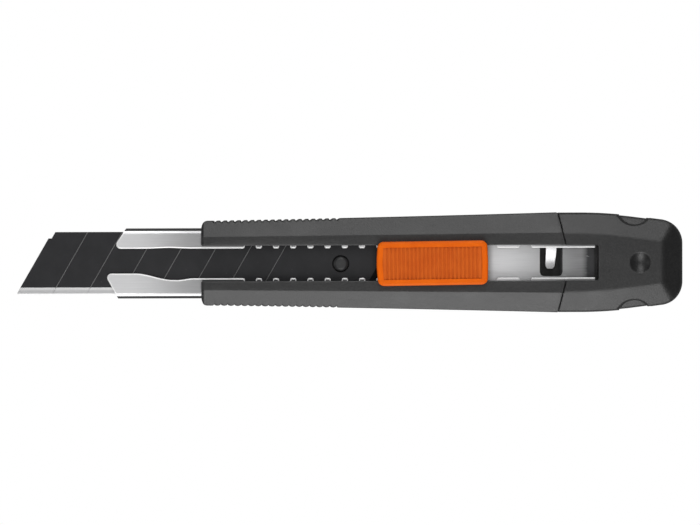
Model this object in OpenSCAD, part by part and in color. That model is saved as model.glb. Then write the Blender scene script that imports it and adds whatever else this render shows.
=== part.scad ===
// Snap-off knife with an auto-lock slider, a steel blade channel and a pull-off end cap.
// The knife lies on its back. Origin: centre of the flat back. +X to the cap, +Z to the slider.

/* [Handle] */
// length of the handle with its end cap
handle_len = 140; // [138:1:144]
// width across the front end
front_w = 24.5; // [24:0.1:25.5]
// width across the widest place, beside the end cap joint
rear_w = 29.1; // [28.4:0.1:30]
// thickness of the handle without the slider
handle_t = 14; // [14:0.5:16]
// width of the flat front face at the blade end
flat_w = 15.5; // [15:0.1:16.4]
// slope of the long chamfers
chamfer_deg = 28; // [24:1:30]
// width of the slot in the front face
slot_w = 10.3; // [10.2:0.1:10.8]
// depth of the ribs along both edges
rib_depth = 0.45; // [0.2:0.05:0.6]
// distance from rib to rib
rib_pitch = 1.98; // [1.8:0.02:2]

/* [Blade] */
// width of the blade from back to cutting edge
blade_w = 18; // [17.8:0.05:18]
// thickness of the blade
blade_t = 0.5; // [0.4:0.05:0.5]
// height of the ground edge
edge_h = 1.85; // [1.4:0.05:2.4]
// depth of the score lines
score_d = 0.12; // [0.08:0.02:0.2]
// length of the blade in front of the handle
blade_out = 53.8; // [53:0.1:54]

/* [Channel] */
// outer width of the steel channel
channel_w = 20.4; // [20.3:0.1:20.6]
// thickness of its sheet
sheet_t = 0.8; // [0.7:0.05:0.8]
// gap between the two lips
lip_gap = 8.6; // [8:0.1:8.6]
// width of a lock notch
notch_w = 3.2; // [3.1:0.05:3.4]

/* [Slider] */
// length of the slider
slider_len = 32.5; // [31:0.5:32.5]
// width of the slider
slider_w = 13.2; // [12.8:0.1:14]
// height of the slider above the handle
slider_h = 3; // [2.6:0.1:3.4]
// distance from groove to groove on the thumb pad
groove_pitch = 1.185; // [1.1:0.005:1.2]
// free play of the slider that works the lock, each way
play = 1.2; // [0.6:0.1:1.2]

/* [End cap] */
// corner radius of the end cap
cap_r = 7; // [6:0.5:8]
// radius of the round dimple
dimple_r = 3; // [2.5:0.1:3.5]
// depth of the round dimple
dimple_d = 1.5; // [0.8:0.1:1.7]

/* [Hidden] */
x_front = -handle_len / 2;
x_rear = handle_len / 2;
x_split = 33.5;
v_slope = 0.24;
gap = 0.2;
flat_taper = 0.55;
wall_t = 2.1;
z_cav = handle_t - wall_t;
z_lip = z_cav - 0.1;
z_under = z_lip - sheet_t;
z_floor = z_lip - 3.9;
z_in = z_floor + sheet_t;
cav_half = channel_w / 2 + 0.1;
z_blade = z_under - 0.1 - blade_t;
z_carrier = z_in + 0.1;
carrier_t = z_blade - 0.15 - z_carrier;
z_deck = z_carrier + carrier_t;
low_z = 2.4;
low_top = 6.6;
x_low = 8;
blade_y = 0.2;
edge_y = blade_y - blade_w / 2;
back_y = blade_y + blade_w / 2;
slant = tan(30);
seg = 10;
seg_1 = 10.4;
tang = 30;
x_tip = x_front - blade_out;
x_score = x_tip + seg_1;
hole_x = x_score + 83.9;
hole_y = -0.2;
hole_r = 2.5;
notch_x0 = -55.8;
notch_pitch = 5;
notch_d = 1.8;
ear_x = notch_x0 + 10 * notch_pitch;
slider_x = -19.2;
rim = 1.7;
pad_y = slider_w / 2 - rim;
post_x = -1;
post_l = 8;
post_w = 6.8;
side_gap = 0.3;
x_slot = 45.4;
x_sheet = 44.4;
tab_x = 31.8;
tab_y = 5.6;
dimple_x = 57.5;
recess_x = 55.7;
recess_r = 5.2;
recess_d = 0.35;
end_deg = 38;
end_run = 5.6;
cap_y = 12.5;
nose_r = 1.2;
arm_y = 7.1;
arm_w = 3.2;
arm_l = 26;
ear_y = 5.1;
ear_w = 2.8;
ear_t = 1.4;
stud_r = 2.1;
shank_r = 1.4;
fit_gap = 0.05;
tab_room = 6.6;
far = 200;

// half the width of the handle at a place along it
function half_w(x) = front_w / 2
  + (rear_w - front_w) / 2 * (0.72 * (x - x_front) / 105 + 0.28 * pow((x - x_front) / 105, 2));

// place of the joint between handle and cap at a distance from the middle
function split_at(y) = x_split + v_slope * (half_w(x_split) - abs(y));

// tapering plane that cuts one long chamfer at the front and one at the back
module chamfer_pair(x, y, taper) {
  for (up = [0, 1])
    translate([0, 0, up * handle_t])
      mirror([0, 0, 1 - up])
        translate([x, y, 0])
          rotate([0, 0, taper])
            rotate([-chamfer_deg, 0, 0])
              translate([-far, -4, 0])
                cube([2 * far, 40, 20]);
}

// chamfers of the whole handle: straight ones, steeper ones beside the cap, and the sloping end
module chamfers(grow = 0) {
  for (side = [0, 1])
    mirror([0, side, 0]) {
      chamfer_pair(x_front, flat_w / 2 + grow, flat_taper);
      chamfer_pair(46.5, flat_w / 2 + 0.86 + grow, -7.4);
    }
  for (up = [0, 1])
    translate([0, 0, up * handle_t])
      mirror([0, 0, 1 - up])
        translate([x_rear - end_run + grow, 0, 0])
          rotate([0, end_deg, 0])
            translate([-4, -40, 0])
              cube([40, 80, 20]);
}

// outline of the handle in front of the joint
module body_outline() {
  r = nose_r;
  xs = [for (i = [0:10]) x_front + r + i * (x_split - x_front - r) / 10];
  tip = split_at(0);
  difference() {
    union() {
      polygon(concat(
        [[x_front + r, -half_w(x_front)]],
        [for (x = xs) [x, -half_w(x)]],
        [[tip, 0]],
        [for (i = [10:-1:0]) [xs[i], half_w(xs[i])]],
        [[x_front + r, half_w(x_front)]]
      ));
      translate([x_front, r - half_w(x_front)])
        square([2 * r, 2 * half_w(x_front) - 2 * r]);
      for (s = [-1, 1])
        translate([x_front + r, s * (half_w(x_front) - r)])
          circle(r = r, $fn = 48);
    }
    for (s = [-1, 1])
      for (k = [0:18]) {
        x = -66.4 + k * rib_pitch;
        translate([x, s * half_w(x)])
          polygon([[-0.55, s], [-0.5, 0.02 * s], [-0.12, -rib_depth * s], [0.12, -rib_depth * s],
                   [0.5, 0.02 * s], [0.55, s]]);
      }
  }
}

// outline of the cap behind the joint, drawn from the middle
module cap_outline(inset = 0) {
  a = 7.3;
  r = cap_r - inset;
  cx = x_rear - cap_r;
  cy = cap_y - cap_r;
  tx = cx + r * sin(a);
  ty = cy + r * cos(a);
  h = half_w(x_split) - 0.12 - inset;
  union() {
    polygon([
      [split_at(0) + gap, 0], [split_at(h) + gap, h], [40.3, h + 0.08], [46.2, h + 0.02],
      [49.1, h - 0.14], [52, h - 0.48], [tx, ty], [cx, cy], [cx, -cy], [tx, -ty], [52, 0.48 - h],
      [49.1, 0.14 - h], [46.2, -0.02 - h], [40.3, -0.08 - h], [split_at(h) + gap, -h]
    ]);
    translate([cx - 10, -cy])
      square([10 + r, 2 * cy]);
    for (s = [-1, 1])
      translate([cx, s * cy])
        circle(r = r, $fn = 96);
  }
}

// space for the steel channel and the slot above it, out to a rear end
module channel_space(x_end) {
  translate([x_front - 5, -cav_half, z_floor - 0.1])
    cube([x_end - x_front + 5, 2 * cav_half, z_cav - z_floor + 0.1]);
  translate([x_front - 5, -slot_w / 2, z_cav - 1])
    cube([x_end - x_front + 5, slot_w, 10]);
}

module handle_body() {
  color([0.2, 0.2, 0.21])
    difference() {
      linear_extrude(height = handle_t)
        body_outline();
      chamfers();
      channel_space(60);
      // rear chamber that takes the two arms of the cap
      translate([x_low, -9, low_z])
        cube([60, 18, low_top - low_z]);
      // window under the holding tab of the channel
      translate([tab_x - 3.2, -4.2, low_top - 1])
        cube([6, 9.4, 3]);
    }
}

module end_cap() {
  color([0.18, 0.18, 0.19])
    difference() {
      union() {
        difference() {
          linear_extrude(height = handle_t)
            cap_outline();
          chamfers();
        }
        for (s = [-1, 1])
          translate([14, s * arm_y - arm_w / 2, low_z + side_gap])
            cube([arm_l, arm_w, low_top - low_z - 2 * side_gap]);
      }
      channel_space(x_slot);
      translate([30, -5.5, low_z])
        cube([32, 11, low_top - low_z]);
      // round dimple
      rr = (dimple_r * dimple_r + dimple_d * dimple_d) / (2 * dimple_d);
      translate([dimple_x, 0, handle_t + rr - dimple_d])
        sphere(r = rr, $fn = 96);
      // shallow finger recesses at both edges
      for (s = [-1, 1])
        difference() {
          translate([recess_x, s * 9.5, handle_t / 2])
            rotate([-90 * s, 0, 0])
              cylinder(r = recess_r, h = 8, $fn = 96);
          difference() {
            linear_extrude(height = handle_t)
              cap_outline(recess_d);
            chamfers(-recess_d / sin(chamfer_deg));
          }
        }
    }
}

// section of the bent steel channel: y across, z up
module channel_section() {
  w = channel_w / 2;
  g = lip_gap / 2;
  c = 0.5;
  t = sheet_t;
  polygon([
    [-w + c, z_floor], [w - c, z_floor], [w, z_floor + c], [w, z_lip - c], [w - c, z_lip],
    [g, z_lip], [g, z_under], [w - t - 0.2, z_under], [w - t, z_under - 0.2], [w - t, z_in + 0.2],
    [w - t - 0.2, z_in], [-w + t + 0.2, z_in], [-w + t, z_in + 0.2], [-w + t, z_under - 0.2],
    [-w + t + 0.2, z_under], [-g, z_under], [-g, z_lip], [-w + c, z_lip], [-w, z_lip - c],
    [-w, z_floor + c]
  ]);
}

// plan of the channel's slanted front end
module channel_plan() {
  w = channel_w / 2;
  polygon([
    [x_sheet, -w - 1], [x_sheet, w + 1], [-91.3, w + 1], [-94.5, 6.3], [-94.8, 5.5], [-94.5, 4.7],
    [-93.5, 4.3], [-93.2, 0], [-96.2, -3], [-97.1, -3.4], [-97.4, -4.2], [-97.2, -5], [-93.7, -w - 1]
  ]);
}

// holding tab, bent down into the handle
module tab() {
  translate([tab_x, tab_y, z_in])
    rotate([8, 0, 0])
      translate([0, 0, -sheet_t])
        linear_extrude(height = sheet_t)
          polygon([[-1.8, 0], [1.8, 0], [1.5, -6.6], [1.0, -7.4], [-1.5, -7.4], [-2, -6.6]]);
}

module blade_channel() {
  g = lip_gap / 2;
  color([0.75, 0.76, 0.77])
    difference() {
      union() {
        intersection() {
          translate([-100, 0, 0])
            rotate([90, 0, 90])
              linear_extrude(height = 150)
                channel_section();
          linear_extrude(height = handle_t)
            channel_plan();
        }
        // lower lip reaches further in at the front
        translate([0, 0, z_under])
          linear_extrude(height = sheet_t)
            polygon([
              [-96.2, -3], [-88.4, -3], [-86.2, -3.5], [-84, -4.06], [-83, -4.4], [-90, -6],
              [-97.2, -4.4], [-97.4, -3.8], [-97.2, -3.3]
            ]);
        // two pressed dimples that hold the blade up to the lips
        for (s = [-1, 1])
          translate([-89.5, s * 4.4, z_in - 0.2])
            cylinder(r1 = 2.2, r2 = 1.4, h = z_blade - 0.05 - z_in + 0.2, $fn = 48);
        tab();
      }
      // curved cut of the lower lip
      translate([0, 0, z_under - 0.5])
        linear_extrude(height = 3)
          polygon([
            [-84, -4.06], [-81.8, -4.5], [-80, -4.9], [-77.7, -5.2], [-75.9, -5.15], [-74.2, -4.8],
            [-72.9, -4.5], [-70, -4.35], [-66, -4.05], [-66, -2], [-84, -2]
          ]);
      // lock notches in both lips
      for (k = [0:16])
        if (k != 15)
          translate([notch_x0 + k * notch_pitch - notch_w / 2, -g - notch_d, z_under - 0.5])
            cube([notch_w, 2 * (g + notch_d), 3]);
      // opening around the holding tab
      difference() {
        translate([tab_x - tab_room / 2, -4.1, z_floor - 1])
          cube([tab_room, 9.2, sheet_t + 2.2]);
        tab();
      }
    }
}

// blade section: y across, z up, ground from both faces to the edge
module blade_section() {
  polygon([
    [back_y, z_blade], [back_y, z_blade + blade_t], [edge_y + edge_h, z_blade + blade_t],
    [edge_y, z_blade + blade_t / 2 + 0.01], [edge_y, z_blade + blade_t / 2 - 0.01],
    [edge_y + edge_h, z_blade]
  ]);
}

// half of a score groove along one slanted end
module score_cut(x) {
  translate([x, edge_y, z_blade + blade_t])
    rotate([0, 0, 60])
      translate([-5, 0, 0])
        rotate([45, 0, 0])
          translate([0, -score_d / sqrt(2), -score_d / sqrt(2)])
            cube([35, sqrt(2) * score_d, sqrt(2) * score_d]);
}

// one slanted length of blade between two places on the cutting edge
module blade_piece(x0, x1) {
  lean = slant * blade_w;
  color([0.14, 0.14, 0.15])
    difference() {
      intersection() {
        translate([x0 - 1, 0, 0])
          rotate([90, 0, 90])
            linear_extrude(height = x1 - x0 + lean + 2)
              blade_section();
        linear_extrude(height = handle_t)
          polygon([[x0, edge_y], [x1, edge_y], [x1 + lean, back_y], [x0 + lean, back_y]]);
      }
      children();
    }
}

module segment(n) {
  x = n == 1 ? x_tip : x_score + (n - 2) * seg;
  x1 = x_score + (n - 1) * seg;
  step_y = back_y - 2;
  step_x = x + slant * (step_y - edge_y);
  blade_piece(x, x1) {
    if (n > 1)
      score_cut(x);
    score_cut(x1);
    // step at the blunt corner of the tip
    if (n == 1)
      linear_extrude(height = handle_t)
        polygon([
          [step_x - 2, step_y], [step_x + 0.66, step_y], [step_x + 1.76, back_y - 0.2],
          [step_x + 2.2, back_y + 1], [step_x - 2, back_y + 1]
        ]);
  }
}

module blade_segment_1() { segment(1); }
module blade_segment_2() { segment(2); }
module blade_segment_3() { segment(3); }
module blade_segment_4() { segment(4); }
module blade_segment_5() { segment(5); }
module blade_segment_6() { segment(6); }
module blade_segment_7() { segment(7); }

module blade_tang() {
  x = x_score + 6 * seg;
  blade_piece(x, x + tang) {
    score_cut(x);
    translate([hole_x, hole_y, 0])
      cylinder(r = hole_r, h = 20, $fn = 64);
  }
}

module blade_carrier() {
  color([0.1, 0.1, 0.11])
    difference() {
      union() {
        translate([0, 0, z_carrier])
          linear_extrude(height = carrier_t)
            polygon([
              [-32, -9], [10, -9], [12, -7], [12, 7], [10, 9], [-30, 9], [-34, 4], [-34, -6]
            ]);
        // post that the slider works on
        translate([post_x, -post_w / 2, z_deck - 0.1])
          cube([post_l, post_w, 3]);
      }
      translate([hole_x, hole_y, 0])
        cylinder(r = shank_r + fit_gap, h = 20, $fn = 48);
    }
}

module blade_stud() {
  color([0.3, 0.3, 0.31])
    translate([hole_x, hole_y, 0])
      union() {
        translate([0, 0, z_carrier])
          cylinder(r = shank_r, h = carrier_t + 0.1, $fn = 48);
        translate([0, 0, z_deck])
          cylinder(r = stud_r, h = z_blade + blade_t + 0.15 - z_deck, $fn = 64);
      }
}

module lock_spring() {
  z = z_deck + fit_gap;
  color([0.7, 0.71, 0.72])
    difference() {
      union() {
        translate([-11.5, -6.2, z])
          cube([21, 12.4, 0.4]);
        // ears that stand in a pair of notches
        for (s = [-1, 1])
          translate([ear_x - ear_w / 2, s * ear_y - ear_t / 2, z])
            cube([ear_w, ear_t, z_lip - z]);
      }
      translate([post_x - side_gap, -post_w / 2 - side_gap, 0])
        cube([post_l + 2 * side_gap, post_w + 2 * side_gap, 20]);
    }
}

// rounded rectangle with its near corner at the origin
module round_rect(l, w, r) {
  union() {
    translate([r, 0])
      square([l - 2 * r, w]);
    translate([0, r])
      square([l, w - 2 * r]);
    for (x = [r, l - r])
      for (y = [r, w - r])
        translate([x, y])
          circle(r = r, $fn = 48);
  }
}

module slide_button() {
  z0 = handle_t + side_gap;
  top = handle_t + slider_h;
  stem = slot_w / 2 - 0.35;
  reach = play + 0.4;
  color([0.9, 0.4, 0.08])
    difference() {
      union() {
        translate([slider_x, -slider_w / 2, z0])
          linear_extrude(height = top - z0)
            round_rect(slider_len, slider_w, 1.6);
        translate([-15, -stem, z_lip + 0.15])
          cube([25, 2 * stem, z0 - z_lip]);
        translate([-12, -3.6, z_deck + 0.6])
          cube([8, 7.2, 2]);
      }
      // bed of the thumb pad
      translate([slider_x + rim, -pad_y, top - 1])
        cube([slider_len - 2 * rim, 2 * pad_y, 5]);
      // pocket around the post of the carrier
      translate([post_x - reach, -post_w / 2 - side_gap, z_deck])
        cube([post_l + 2 * reach, post_w + 2 * side_gap, 3.3]);
    }
}

module thumb_pad() {
  top = handle_t + slider_h - 0.25;
  z0 = handle_t + slider_h - 0.95;
  l = slider_len - 2 * rim - 0.1;
  n = floor((l - 2) / groove_pitch);
  first = (l - (n - 1) * groove_pitch) / 2;
  color([0.8, 0.36, 0.13])
    translate([slider_x + rim + 0.05, -pad_y + 0.05, 0])
      difference() {
        translate([0, 0, z0])
          cube([l, 2 * pad_y - 0.1, top - z0]);
        for (k = [0:n - 1])
          translate([first + k * groove_pitch, -1, top])
            rotate([0, 45, 0])
              translate([-0.2, 0, -0.2])
                cube([0.4, 2 * pad_y + 2, 0.4]);
      }
}

handle_body();
end_cap();
blade_channel();
blade_segment_1();
blade_segment_2();
blade_segment_3();
blade_segment_4();
blade_segment_5();
blade_segment_6();
blade_segment_7();
blade_tang();
blade_carrier();
blade_stud();
lock_spring();
slide_button();
thumb_pad();
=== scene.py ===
"""A snap-off knife with an auto-lock slider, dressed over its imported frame.

Every sub-assembly is a class: its fields are sizes in millimetres, its methods build the meshes, give
them their finishes and fasten them to the body that they move with. Places come from the frame.
"""
import logging
import math
from dataclasses import dataclass, field
from enum import Enum
from typing import Any, Callable, Iterable, Sequence

import bmesh
import bpy
from mathutils import Matrix, Vector


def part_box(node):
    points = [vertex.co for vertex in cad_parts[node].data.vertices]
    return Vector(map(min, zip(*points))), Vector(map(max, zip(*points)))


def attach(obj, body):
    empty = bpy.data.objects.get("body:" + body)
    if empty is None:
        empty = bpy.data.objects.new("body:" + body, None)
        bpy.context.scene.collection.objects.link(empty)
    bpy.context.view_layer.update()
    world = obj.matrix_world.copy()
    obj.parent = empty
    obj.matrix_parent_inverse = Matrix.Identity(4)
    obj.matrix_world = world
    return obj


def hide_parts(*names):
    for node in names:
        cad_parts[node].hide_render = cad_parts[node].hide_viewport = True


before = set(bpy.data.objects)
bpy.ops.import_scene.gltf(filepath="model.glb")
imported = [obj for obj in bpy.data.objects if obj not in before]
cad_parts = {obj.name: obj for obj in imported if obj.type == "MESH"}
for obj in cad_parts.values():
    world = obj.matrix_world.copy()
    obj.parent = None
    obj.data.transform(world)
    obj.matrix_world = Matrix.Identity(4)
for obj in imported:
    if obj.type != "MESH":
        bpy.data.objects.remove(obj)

LOG = logging.getLogger("snap_off_knife")
MM = 0.001
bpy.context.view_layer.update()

Ring = list[Vector]
Box = tuple[tuple[float, float, float], tuple[float, float, float]]
Plan = tuple[tuple[float, float], tuple[float, float]]


# ---------------------------------------------------------------------------------------------------
# Small numbers
# ---------------------------------------------------------------------------------------------------


def node_box(node: str) -> tuple[Vector, Vector]:
    """Return the lowest and highest corner of a node of the frame.

    Args:
        node: The node's name.

    Returns:
        Both corners, in millimetres.
    """
    low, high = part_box(node)
    return Vector(low) / MM, Vector(high) / MM


def ease(start: float, end: float, value: float) -> float:
    """Return 0 before start, 1 after end and an S-curve between them."""
    t = min(max((value - start) / (end - start), 0.0), 1.0)
    return t * t * (3.0 - 2.0 * t)


def soft_min(a: float, b: float, blend: float) -> float:
    """Return the smaller of two numbers, rounded off where they meet."""
    h = max(blend - abs(a - b), 0.0) / blend
    return min(a, b) - h * h * blend / 4.0


# ---------------------------------------------------------------------------------------------------
# Outlines and meshes
# ---------------------------------------------------------------------------------------------------


@dataclass(frozen=True)
class Corner:
    """A corner of a flat outline, with the radius that rounds it.

    Attributes:
        u: First coordinate, in millimetres.
        v: Second coordinate, in millimetres.
        radius: Radius of the rounding.
        steps: Straight steps in the rounding; 0 keeps one sharp point.
    """

    u: float
    v: float
    radius: float = 0.0
    steps: int = 0


def outline(corners: Sequence[Corner]) -> Ring:
    """Return the points of a closed outline, with its corners rounded.

    Args:
        corners: The corners in order.

    Returns:
        Flat points; a rounded corner gives steps + 1 of them.
    """
    points: Ring = []
    for i, corner in enumerate(corners):
        here = Vector((corner.u, corner.v))
        if corner.steps == 0:
            points.append(here)
            continue
        before, after = corners[i - 1], corners[(i + 1) % len(corners)]
        back = Vector((before.u, before.v)) - here
        ahead = Vector((after.u, after.v)) - here
        half = back.angle(ahead, math.pi) / 2
        reach = min(corner.radius / math.tan(half), 0.48 * back.length, 0.48 * ahead.length)
        start = back.normalized() * reach
        end = ahead.normalized() * reach
        middle = (back.normalized() + ahead.normalized()).normalized() * (reach / math.cos(half))
        for k in range(corner.steps + 1):
            spoke = (start - middle).slerp(end - middle, k / corner.steps)
            points.append(here + middle + spoke.normalized() * (start - middle).length)
    return points


def shrink(ring: Ring, distance: float) -> Ring:
    """Return an outline moved inwards all round.

    Args:
        ring: Flat points in counterclockwise order.
        distance: How far each side moves in; a negative distance moves it out.

    Returns:
        As many flat points.
    """
    moved: Ring = []
    for i, point in enumerate(ring):
        along = ring[(i + 1) % len(ring)] - ring[i - 1]
        inward = Vector((-along.y, along.x)).normalized()
        moved.append(point + inward * distance)
    return moved


def mirrored(half: Sequence[Corner]) -> list[Corner]:
    """Return an outline made of a half at positive u and its mirror image, in one closed order."""
    return [*half, *(Corner(-c.u, c.v, c.radius, c.steps) for c in reversed(half))]


def skin(rings: Sequence[Ring]) -> bmesh.types.BMesh:
    """Return a closed skin over rings of equal length, in millimetres.

    Args:
        rings: Rings of points in space, one after the other.

    Returns:
        A new bmesh.
    """
    mesh = bmesh.new()
    around, along = len(rings[0]), len(rings) - 1
    bmesh.ops.create_grid(mesh, x_segments=around, y_segments=along, size=0.5)
    for vert in mesh.verts:
        column = round((vert.co.x + 0.5) * around) % around
        row = round((vert.co.y + 0.5) * along)
        vert.co = rings[row][column]
    bmesh.ops.remove_doubles(mesh, verts=mesh.verts, dist=1e-4)
    close_holes(mesh)
    return mesh


def close_holes(mesh: bmesh.types.BMesh) -> None:
    """Fill every open loop of a mesh with one face."""
    edges = [edge for edge in mesh.edges if edge.is_boundary]
    bmesh.ops.holes_fill(mesh, edges=edges, sides=0)


def prism(ring: Ring, low: float, high: float) -> bmesh.types.BMesh:
    """Return an upright prism over a flat outline, from one height to another."""
    return skin([[Vector((p.x, p.y, z)) for p in ring] for z in (low, high)])


def block(low: Sequence[float], high: Sequence[float], round_off: float = 0.0) -> bmesh.types.BMesh:
    """Return a box between two corners.

    Args:
        low: Lowest corner, in millimetres.
        high: Highest corner.
        round_off: Radius of all its edges.

    Returns:
        A new bmesh.
    """
    mesh = bmesh.new()
    size = Vector(high) - Vector(low)
    centre = (Vector(high) + Vector(low)) / 2
    bmesh.ops.create_cube(mesh, size=1.0, matrix=Matrix.LocRotScale(centre, None, size))
    if round_off:
        bmesh.ops.bevel(mesh, geom=mesh.edges[:], offset=round_off, segments=3, profile=0.5,
                        affect="EDGES", material=-1)
    return mesh


def turned(profile: Sequence[tuple[float, float]], centre: Vector, steps: int = 64) -> bmesh.types.BMesh:
    """Return a body turned about an upright axis.

    Args:
        profile: Pairs of radius and height, from the axis at one end to the axis at the other.
        centre: A point on the axis at height 0.
        steps: Facets round the axis.

    Returns:
        A new bmesh.
    """
    mesh = bmesh.new()
    verts = [mesh.verts.new(centre + Vector((radius, 0, height))) for radius, height in profile]
    edges = [mesh.edges.new(pair) for pair in zip(verts, verts[1:])]
    bmesh.ops.spin(mesh, geom=verts + edges, cent=centre, axis=(0, 0, 1), angle=2 * math.pi,
                   steps=steps, use_merge=True)
    bmesh.ops.remove_doubles(mesh, verts=mesh.verts, dist=1e-4)
    return mesh


def add_mesh(target: bmesh.types.BMesh, extra: bmesh.types.BMesh) -> None:
    """Add one bmesh to another and free it."""
    spare = bpy.data.meshes.new("spare")
    extra.to_mesh(spare)
    extra.free()
    target.from_mesh(spare)
    bpy.data.meshes.remove(spare)


def to_object(name: str, mesh: bmesh.types.BMesh) -> bpy.types.Object:
    """Turn a bmesh in millimetres into an object in metres, closed and facing outwards.

    Args:
        name: The object's name.
        mesh: The shape; it is freed.

    Returns:
        The new object, at the origin.
    """
    bmesh.ops.scale(mesh, vec=(MM, MM, MM), verts=mesh.verts)
    bmesh.ops.recalc_face_normals(mesh, faces=mesh.faces)
    data = bpy.data.meshes.new(name)
    mesh.to_mesh(data)
    mesh.free()
    thing = bpy.data.objects.new(name, data)
    bpy.context.scene.collection.objects.link(thing)
    return thing


def combine(body: bpy.types.Object, tools: Iterable[bpy.types.Object], operation: str) -> None:
    """Cut tools out of a body or weld them to it, and remove them.

    Args:
        body: The object that is changed.
        tools: The closed objects to use up.
        operation: DIFFERENCE or UNION.
    """
    tools = list(tools)
    for tool in tools:
        step = body.modifiers.new("shape", "BOOLEAN")
        step.operation = operation
        step.solver = "EXACT"
        step.object = tool
    ready = body.evaluated_get(bpy.context.evaluated_depsgraph_get())
    shaped = bpy.data.meshes.new_from_object(ready)
    body.modifiers.clear()
    plain = body.data
    body.data = shaped
    shaped.name = plain.name
    bpy.data.meshes.remove(plain)
    for tool in tools:
        data = tool.data
        bpy.data.objects.remove(tool)
        bpy.data.meshes.remove(data)


def cut(body: bpy.types.Object, *shapes: bmesh.types.BMesh) -> None:
    """Cut shapes in millimetres out of a body."""
    combine(body, [to_object("cutter", shape) for shape in shapes], "DIFFERENCE")


def weld(body: bpy.types.Object, *shapes: bmesh.types.BMesh) -> None:
    """Weld shapes in millimetres to a body."""
    combine(body, [to_object("addition", shape) for shape in shapes], "UNION")


def round_edges(thing: bpy.types.Object, radius: float, chosen: Callable[[Any], bool], steps: int = 3,
                finish: int = 0) -> None:
    """Round the chosen edges of an object.

    Args:
        thing: The object.
        radius: Radius, in millimetres.
        chosen: Says of a bmesh edge whether it is rounded.
        steps: Facets of the rounding.
        finish: Material number of the rounding.
    """
    mesh = bmesh.new()
    mesh.from_mesh(thing.data)
    edges = [edge for edge in mesh.edges if chosen(edge)]
    made = bmesh.ops.bevel(mesh, geom=edges, offset=radius * MM, offset_type="OFFSET", segments=steps,
                           profile=0.5, affect="EDGES", clamp_overlap=False, material=-1)
    for face in made["faces"]:
        face.material_index = finish
    mesh.to_mesh(thing.data)
    mesh.free()


def smooth(thing: bpy.types.Object, crease: float = 34.0) -> None:
    """Shade an object smoothly, with creases where its faces turn by more than an angle in degrees."""
    for face in thing.data.polygons:
        face.use_smooth = True
    thing.data.set_sharp_from_angle(angle=math.radians(crease))
    even = thing.modifiers.new("even_shading", "WEIGHTED_NORMAL")
    even.keep_sharp = True
    even.weight = 60


# ---------------------------------------------------------------------------------------------------
# Shader maths
# ---------------------------------------------------------------------------------------------------


class Sum:
    """A number that varies over a surface, written with Python's operators."""

    def __init__(self, sheet: "Sheet", socket: bpy.types.NodeSocket) -> None:
        """Wrap a socket of a node sheet."""
        self.sheet = sheet
        self.socket = socket

    def _math(self, operation: str, *values: Any, clamp: bool = False) -> "Sum":
        """Return the result of a Math node on the values."""
        node = self.sheet.node("ShaderNodeMath", {"operation": operation, "use_clamp": clamp},
                               dict(enumerate(values)))
        return Sum(self.sheet, node.outputs[0])

    def __add__(self, other: Any) -> "Sum":
        """Return self + other."""
        return self._math("ADD", self, other)

    __radd__ = __add__

    def __sub__(self, other: Any) -> "Sum":
        """Return self - other."""
        return self._math("SUBTRACT", self, other)

    def __rsub__(self, other: Any) -> "Sum":
        """Return other - self."""
        return self._math("SUBTRACT", other, self)

    def __mul__(self, other: Any) -> "Sum":
        """Return self * other."""
        return self._math("MULTIPLY", self, other)

    __rmul__ = __mul__

    def __abs__(self) -> "Sum":
        """Return the distance from 0."""
        return self._math("ABSOLUTE", self)

    def clamped(self) -> "Sum":
        """Return self kept between 0 and 1."""
        return self._math("ADD", self, 0.0, clamp=True)

    def step(self, start: float, end: float) -> "Sum":
        """Return 0 before start, 1 after end and an S-curve between them."""
        node = self.sheet.node(
            "ShaderNodeMapRange",
            {"interpolation_type": "SMOOTHSTEP"},
            {"Value": self, "From Min": start, "From Max": end, "To Min": 0.0, "To Max": 1.0},
        )
        return Sum(self.sheet, node.outputs["Result"])


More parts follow.
